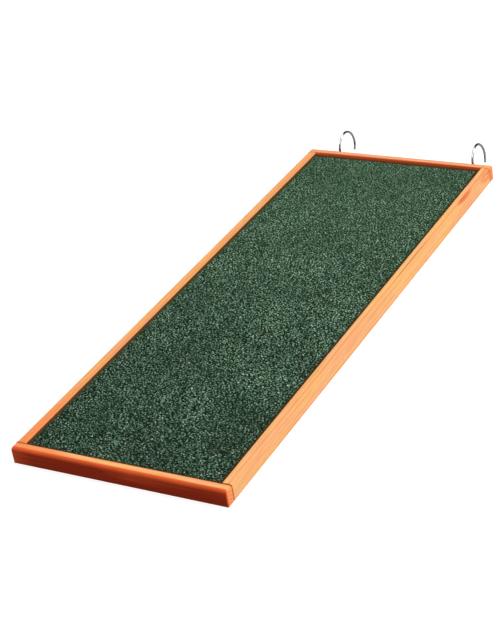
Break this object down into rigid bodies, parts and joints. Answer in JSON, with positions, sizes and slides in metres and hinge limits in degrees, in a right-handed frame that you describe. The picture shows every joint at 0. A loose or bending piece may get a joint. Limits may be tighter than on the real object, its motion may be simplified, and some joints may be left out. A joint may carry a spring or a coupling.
{
  "type": "hutch ramp",
  "caption": "Flat wooden ramp for a small-animal hutch: a felt-topped board in a butted rail frame, with open wire hooks at its high end to hang it on a bar or board edge.",
  "frame": {"origin": "centre of the underside, between the outer faces of the rails", "axes": "+Z out of the walking face, +Y from the low end to the hooked high end, +X to the right when climbing the ramp"},
  "size_m": [0.18, 0.5332, 0.0233],
  "materials": {
    "rail_wood": "orange-glazed pine, satin",
    "board_wood": "plain wood board, matt",
    "mineral_felt": "dark green mineral granules on bitumen felt, rough",
    "hook_wire": "bright plated wire",
    "brad_steel": "plain drawn wire"
  },
  "bodies": {
    "root": {"front_rail": "rail_wood", "back_rail": "rail_wood", "left_rail": "rail_wood", "right_rail": "rail_wood", "deck_board": "board_wood", "roofing_felt": "mineral_felt", "left_hook": "hook_wire", "right_hook": "hook_wire", "front_rail_brad_1": "brad_steel", "front_rail_brad_2": "brad_steel", "front_rail_brad_3": "brad_steel", "front_rail_brad_4": "brad_steel", "front_rail_brad_5": "brad_steel", "back_rail_brad_1": "brad_steel", "back_rail_brad_2": "brad_steel", "back_rail_brad_3": "brad_steel", "back_rail_brad_4": "brad_steel", "back_rail_brad_5": "brad_steel", "left_rail_brad_1": "brad_steel", "left_rail_brad_2": "brad_steel", "left_rail_brad_3": "brad_steel", "left_rail_brad_4": "brad_steel", "right_rail_brad_1": "brad_steel", "right_rail_brad_2": "brad_steel", "right_rail_brad_3": "brad_steel", "right_rail_brad_4": "brad_steel"}
  },
  "joints": []
}
